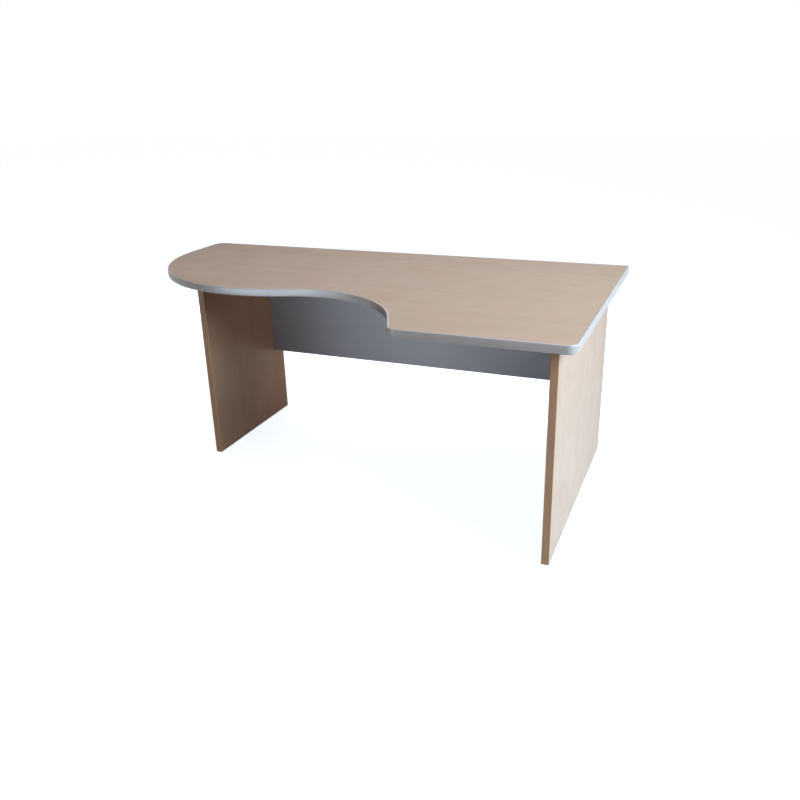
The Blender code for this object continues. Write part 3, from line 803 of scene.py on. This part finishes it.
# %% Where the fittings are
RIGHTWARD, LEFTWARD, BACKWARD, UPWARD = (1, 0, 0), (-1, 0, 0), (0, 1, 0), (0, 0, 1)
fittings = {  # the way the cam's face looks, and the way from the cam to the board that it draws in
    "left_leg_front": (RIGHTWARD, UPWARD), "left_leg_rear": (RIGHTWARD, UPWARD),
    "right_leg_front": (LEFTWARD, UPWARD), "right_leg_rear": (LEFTWARD, UPWARD),
    "modesty_left_upper": (BACKWARD, LEFTWARD), "modesty_left_lower": (BACKWARD, LEFTWARD),
    "modesty_right_upper": (BACKWARD, RIGHTWARD), "modesty_right_lower": (BACKWARD, RIGHTWARD),
    "modesty_top_left": (BACKWARD, UPWARD), "modesty_top_right": (BACKWARD, UPWARD),
}


def frame_of(origin, z_axis, y_axis):
    """The matrix that stands a part's Z and Y along two axes at a point."""
    z, y = Vector(z_axis), Vector(y_axis)
    return Matrix.Translation(origin) @ Matrix((y.cross(z), y, z)).transposed().to_4x4()


def cam_centre(name):
    """The point where the cam's axis meets the bolt's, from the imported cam's box."""
    low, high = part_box(name + "_cam")
    out = Vector(fittings[name][0])
    middle = (low + high) / 2
    return middle + out * (abs((high - low).dot(out)) / 2 - cam_face)


for name, (out, up) in fittings.items():
    mesh = cam_mesh.copy()
    mesh.transform(frame_of(cam_centre(name), out, up))
    piece_from(mesh, name + "_cam_lock", name + "_cam", [name + "_cam"])

# %% [markdown]
# ## Set the same part in many places
# Ten bolts, eleven dowels, four glides and four nails: each kind is one part in many places. Loose
# copies would do, but a tree keeps the part and its places apart: it puts the part on a cloud of
# points, and two vectors on every point say how the part stands.

# %% The tree that sets a part on points
place_tree, given, made = new_tree(
    "place_parts", "GeometryNodeTree",
    {"Places": (SHAPE, None), "Part": (OBJECT, None), "Finish": (MATERIAL, None)},
    {"Shape": (SHAPE, None)},
)


def named_vector(tree, name):
    return node(tree, "GeometryNodeInputNamedAttribute", {"Name": name},
                data_type="FLOAT_VECTOR").outputs["Attribute"]


stand = node(place_tree, "FunctionNodeAlignRotationToVector",
             {"Vector": named_vector(place_tree, "z_axis")}, axis="Z").outputs[0]
turn = node(place_tree, "FunctionNodeAlignRotationToVector",
            {"Rotation": stand, "Vector": named_vector(place_tree, "y_axis")}, axis="Y",
            pivot_axis="Z").outputs[0]
part = node(place_tree, "GeometryNodeObjectInfo", {"Object": given["Part"]}).outputs["Geometry"]
placed = node(place_tree, "GeometryNodeInstanceOnPoints", {
    "Points": given["Places"], "Instance": part, "Rotation": turn}).outputs[0]
end_tree(place_tree, placed, given["Finish"], made)
print("placing tree:", len(place_tree.nodes), "nodes")


def set_out(name, part, places, finish, replaced):
    """One piece that holds a part at every place; a place is (point, z axis, y axis)."""
    cloud = bpy.data.meshes.new(name)
    cloud.from_pydata([tuple(point) for point, z_axis, y_axis in places], [], [])
    for key, index in (("z_axis", 1), ("y_axis", 2)):
        values = cloud.attributes.new(key, "FLOAT_VECTOR", "POINT").data
        for value, place in zip(values, places):
            value.vector = place[index]
    guide = helper(name + "_places", cloud)
    run_tree(guide, place_tree, {"Part": part, "Finish": finish})
    mesh = plain_mesh(guide, name)
    for key in ("z_axis", "y_axis"):
        if key in mesh.attributes:
            mesh.attributes.remove(mesh.attributes[key])
    for used in (guide, part):
        bpy.data.objects.remove(used)
    return piece_from(mesh, name, "desk", replaced)


# %% [markdown]
# ## Bolts with a rolled thread
# A cam bolt has a coarse thread that bites into chipboard, a collar that stops it at the face, and
# a neck and head for the cam. The thread is a wedge that runs along a helix, so a tree draws the
# helix, sweeps the wedge and joins it to the turned body.

# %% The bolt's body
backset, head_seat = 0.034, 0.0035
point_tip, point_edge, point_radius, point_top = -0.0110, -0.0108, 0.0012, -0.0094
core_radius, collar_radius, shank_radius, neck_radius = 0.0024, 0.0036, 0.0030, 0.0022
collar_top, shank_top, neck_low = 0.0025, 0.0254, 0.0260
head_low, head_length, head_radius = backset - head_seat, 0.0018, 0.0033
head_under_edge, head_top_edge = 0.0003, 0.0005
head_top = head_low + head_length
bolt_body = turned_mesh("cam_bolt", [
    (0, point_tip), (point_radius, point_edge), (core_radius, point_top), (core_radius, gap),
    (collar_radius, gap), (collar_radius, collar_top), (shank_radius, collar_top),
    (shank_radius, shank_top), (neck_radius, neck_low), (neck_radius, head_low)]
    + rounded(head_radius, head_low, head_under_edge, -1)
    + rounded(head_radius, head_top, head_top_edge, 1) + [(0, head_top)], sides=32)
print("bolt body faces:", len(bolt_body.polygons))

# %% The bolt's thread, and all the bolts
thread_tree, given, made = new_tree(
    "rolled_thread", "GeometryNodeTree",
    {"Body": (SHAPE, None), "Length": (FLOAT, 0.0092), "Pitch": (FLOAT, 0.0018),
     "Radius": (FLOAT, 0.0026), "Ridge": (FLOAT, 0.0004), "Finish": (MATERIAL, None)},
    {"Shape": (SHAPE, None)},
)
helix = node(thread_tree, "GeometryNodeCurveSpiral", {
    "Resolution": 24, "Rotations": maths(thread_tree, "DIVIDE", given["Length"], given["Pitch"]),
    "Start Radius": given["Radius"], "End Radius": given["Radius"],
    "Height": given["Length"]}).outputs[0]
wedge = node(thread_tree, "GeometryNodeCurvePrimitiveCircle", {
    "Resolution": 3, "Radius": given["Ridge"]}).outputs[0]
ridge = node(thread_tree, "GeometryNodeCurveToMesh", {
    "Curve": helix, "Profile Curve": wedge, "Fill Caps": True}).outputs[0]
lowered = node(thread_tree, "ShaderNodeCombineXYZ", {
    "Z": maths(thread_tree, "SUBTRACT", -gap, given["Length"])}).outputs[0]
sunk = node(thread_tree, "GeometryNodeTransform", {
    "Geometry": ridge, "Translation": lowered}).outputs[0]
joined = thread_tree.nodes.new("GeometryNodeJoinGeometry")
for part_shape in (given["Body"], sunk):
    thread_tree.links.new(part_shape, joined.inputs[0])
end_tree(thread_tree, joined.outputs[0], given["Finish"], made)

bolt = helper("cam_bolt", bolt_body)
run_tree(bolt, thread_tree, {"Finish": plated_steel})
bolt_places = [(cam_centre(name) + Vector(up) * backset, -Vector(up), Vector(out))
               for name, (out, up) in fittings.items()]
set_out("cam_bolts", bolt, bolt_places, plated_steel,
        [name + "_bolt" for name in fittings])

# %% [markdown]
# ## Fluted dowels
# The flutes let the glue and the air out as a dowel goes in. A star drawn along a line gives them,
# and the line's radius shrinks at both ends for the chamfer.

# %% The tree of a dowel
dowel_radius, dowel_length, dowel_chamfer = 0.0039, 0.030, 0.001
flute_floor, tip_share = 0.93, 0.76
dowel_tree, given, made = new_tree(
    "fluted_dowel", "GeometryNodeTree",
    {"Line": (SHAPE, None), "Flutes": (WHOLE, 16), "Radius": (FLOAT, dowel_radius),
     "Chamfer": (FLOAT, dowel_chamfer), "Finish": (MATERIAL, None)},
    {"Shape": (SHAPE, None)},
)
along = node(dowel_tree, "GeometryNodeSplineParameter").outputs["Length"]
length = node(dowel_tree, "GeometryNodeCurveLength", {"Curve": given["Line"]}).outputs[0]
from_end = maths(dowel_tree, "MINIMUM", along, maths(dowel_tree, "SUBTRACT", length, along))
share = spread(dowel_tree, from_end, 0.0, given["Chamfer"], tip_share, 1.0)
star = node(dowel_tree, "GeometryNodeCurveStar", {
    "Points": given["Flutes"], "Outer Radius": given["Radius"],
    "Inner Radius": maths(dowel_tree, "MULTIPLY", given["Radius"], flute_floor)}).outputs[0]
tapered = node(dowel_tree, "GeometryNodeSetCurveRadius", {
    "Curve": given["Line"], "Radius": share}).outputs[0]
body_shape = node(dowel_tree, "GeometryNodeCurveToMesh", {
    "Curve": tapered, "Profile Curve": star, "Fill Caps": True}).outputs[0]
end_tree(dowel_tree, body_shape, given["Finish"], made)
print("dowel tree:", len(dowel_tree.nodes), "nodes")

# %% Dowels
dowel_line = poly_curve("dowel_line", [(0, 0)] * 4, False)
heights = (-dowel_length / 2, dowel_chamfer - dowel_length / 2, dowel_length / 2 - dowel_chamfer,
           dowel_length / 2)
for point, height in zip(dowel_line.data.splines[0].points, heights):
    point.co = (0, 0, height, 1)
run_tree(dowel_line, dowel_tree, {"Finish": turned_beech})
dowel = helper("dowel", plain_mesh(dowel_line, "dowel"))
bpy.data.objects.remove(dowel_line)


def axis_vector(axis):
    return Vector([float(i == axis) for i in range(3)])


dowel_nodes = sorted(name for name in nodes if name.endswith("_dowel"))
dowel_places = []
for name in dowel_nodes:
    low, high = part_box(name)
    size = high - low
    lengthwise = max(range(3), key=lambda i: size[i])
    crosswise = (lengthwise + 1) % 3
    dowel_places.append(((low + high) / 2, axis_vector(lengthwise), axis_vector(crosswise)))
set_out("beech_dowels", dowel, dowel_places, turned_beech, dowel_nodes)

# %% [markdown]
# ## Glides and their nails
# The desk slides on four low plastic pads. Each is nailed through its middle, with the nail's head
# set in a recess so that only plastic meets the floor. Both are round, so the lathe makes them from
# a few points each.

# %% Glides and nails
glide_radius, glide_height, glide_edge = 0.009, 0.0025, 0.0008
bore, recess_radius, recess = 0.0014, 0.0036, 0.0014
nail_radius, nail_head_radius, nail_head_edge = 0.0011, 0.0031, 0.0003
nail_head_top, nail_point, nail_tip = 0.0011, 0.0165, 0.0185

glide_nodes = sorted(name for name in nodes if name.endswith("_glide"))
glide_places = []
for name in glide_nodes:
    low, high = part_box(name)
    glide_places.append((((low.x + high.x) / 2, (low.y + high.y) / 2, 0), UPWARD, BACKWARD))
glide = turned_mesh("glide", [(bore, recess), (recess_radius, recess), (recess_radius, 0)]
                    + rounded(glide_radius, 0, glide_edge, -1)
                    + [(glide_radius, glide_height), (bore, glide_height)], sides=48)
nail = turned_mesh("nail", [
    (0, gap), (nail_head_radius - nail_head_edge, gap), (nail_head_radius, gap + nail_head_edge),
    (nail_head_radius, nail_head_top), (nail_radius, nail_head_top), (nail_radius, nail_point),
    (0, nail_tip)], sides=24)
set_out("leg_glides", helper("glide", glide), glide_places, glide_plastic,
        glide_nodes)
set_out("glide_nails", helper("nail", nail), glide_places, plated_steel,
        [name.replace("_glide", "_nail") for name in glide_nodes])

# %% [markdown]
# ## The studio
# The desk stands on a plain pale floor. One broad soft light shines from the right like a window,
# and an even sky and a weak lamp overhead fill in the rest. Two small lamps near the floor stand
# for the light that a real room throws back under the top, and a broad one lifts the rear. A narrow
# strip lights nothing, but the moulding mirrors it, which is the sheen along the S-curve. What the
# camera sees of floor and sky is white. A white sky alone would be simpler, but it would light the
# desk evenly from all sides and leave it flat.


# %% Sky
def looked_at(tree):
    """1 for a ray that looks, straight or through a mirror or glass, and 0 for one that lights."""
    rays = node(tree, "ShaderNodeLightPath").outputs
    bent = maths(tree, "MAXIMUM", rays["Is Glossy Ray"], rays["Is Transmission Ray"])
    return maths(tree, "MAXIMUM", rays["Is Camera Ray"], bent)


world = bpy.data.worlds.new("sky")
world.use_nodes = True
scene.world = world
tree = world.node_tree
tree.nodes.clear()
seen = looked_at(tree)
dim = node(tree, "ShaderNodeBackground", {"Color": (1.0, 0.63, 0.42, 1), "Strength": 0.235})
white = node(tree, "ShaderNodeBackground", {"Color": (1, 1, 1, 1), "Strength": 1.0})
mixed = node(tree, "ShaderNodeMixShader", {0: seen, 1: dim.outputs[0], 2: white.outputs[0]})
node(tree, "ShaderNodeOutputWorld", {"Surface": mixed.outputs[0]})
print("sky:", len(tree.nodes), "nodes")

# %% Floor
floor_finish = bpy.data.materials.new("studio_floor")
floor_finish.use_nodes = True
tree = floor_finish.node_tree
tree.nodes.clear()
seen = looked_at(tree)
bounce = node(tree, "ShaderNodeBsdfDiffuse", {"Color": (0.070, 0.048, 0.040, 1)}).outputs[0]
shown = node(tree, "ShaderNodeBsdfDiffuse", {"Color": (0.80, 1.0, 1.0, 1)}).outputs[0]
glow = node(tree, "ShaderNodeEmission", {"Color": (0.80, 0.845, 0.897, 1), "Strength": 1.0})
pale = node(tree, "ShaderNodeAddShader", {0: shown, 1: glow.outputs[0]}).outputs[0]
mixed = node(tree, "ShaderNodeMixShader", {0: seen, 1: bounce, 2: pale})
node(tree, "ShaderNodeOutputMaterial", {"Surface": mixed.outputs[0]})

floor_reach = 20
floor_mesh = bpy.data.meshes.new("studio_floor")
shape = bmesh.new()
bmesh.ops.create_grid(shape, x_segments=1, y_segments=1, size=floor_reach)
shape.to_mesh(floor_mesh)
shape.free()
floor_mesh.materials.append(floor_finish)
floor = bpy.data.objects.new("studio_floor", floor_mesh)
scene.collection.objects.link(floor)
print("floor:", len(tree.nodes), "nodes")


# %% Lamps
def lamp(name, place, target, size, spread_angle, watts, colour, lights=True, shines=False):
    """A rectangular lamp. It lights what it faces, or shines in it as a reflection, or both."""
    data = bpy.data.lights.new(name, "AREA")
    data.shape = "RECTANGLE"
    data.size, data.size_y = size
    data.spread = math.radians(spread_angle)
    data.energy = watts
    data.color = colour
    item = bpy.data.objects.new(name, data)
    item.location = place
    item.rotation_euler = (Vector(target) - Vector(place)).to_track_quat("-Z", "Y").to_euler()
    item.visible_camera, item.visible_diffuse, item.visible_glossy = False, lights, shines
    scene.collection.objects.link(item)


lamp("window", (3.2, -0.8, 2.3), (0.8, -0.1, 0.4), (1.7, 1.7), spread_angle=110, watts=60,
     colour=(0.82, 0.92, 1.0), shines=True)
lamp("ceiling", (0.25, 0.1, 2.6), (0.25, 0.1, 0.7), (1.2, 1.2), spread_angle=90, watts=2.2,
     colour=(0.95, 1.0, 0.98))
lamp("leg_glow", (-0.32, 0.42, 0.02), (-0.60, 0.44, 0.14), (0.20, 0.3), spread_angle=110,
     watts=0.06, colour=(1.0, 0.66, 0.42))
lamp("floor_glow", (0.04, -0.35, 0.03), (0.02, 0.42, 0.6), (0.5, 0.3), spread_angle=95,
     watts=1.65, colour=(1.0, 0.93, 0.88))
lamp("rim_sheen", (-0.52, -0.90, 0.62), (-0.38, -0.20, 0.71), (1.05, 0.28), spread_angle=120,
     watts=1.5, colour=(0.72, 0.90, 1.0), lights=False, shines=True)
lamp("back_fill", (-1.6, 2.7, 0.42), (0.0, 0.3, 0.4), (1.8, 0.8), spread_angle=150, watts=36,
     colour=(0.92, 0.98, 1.0))
print("lamps:", [light.name for light in bpy.data.lights])
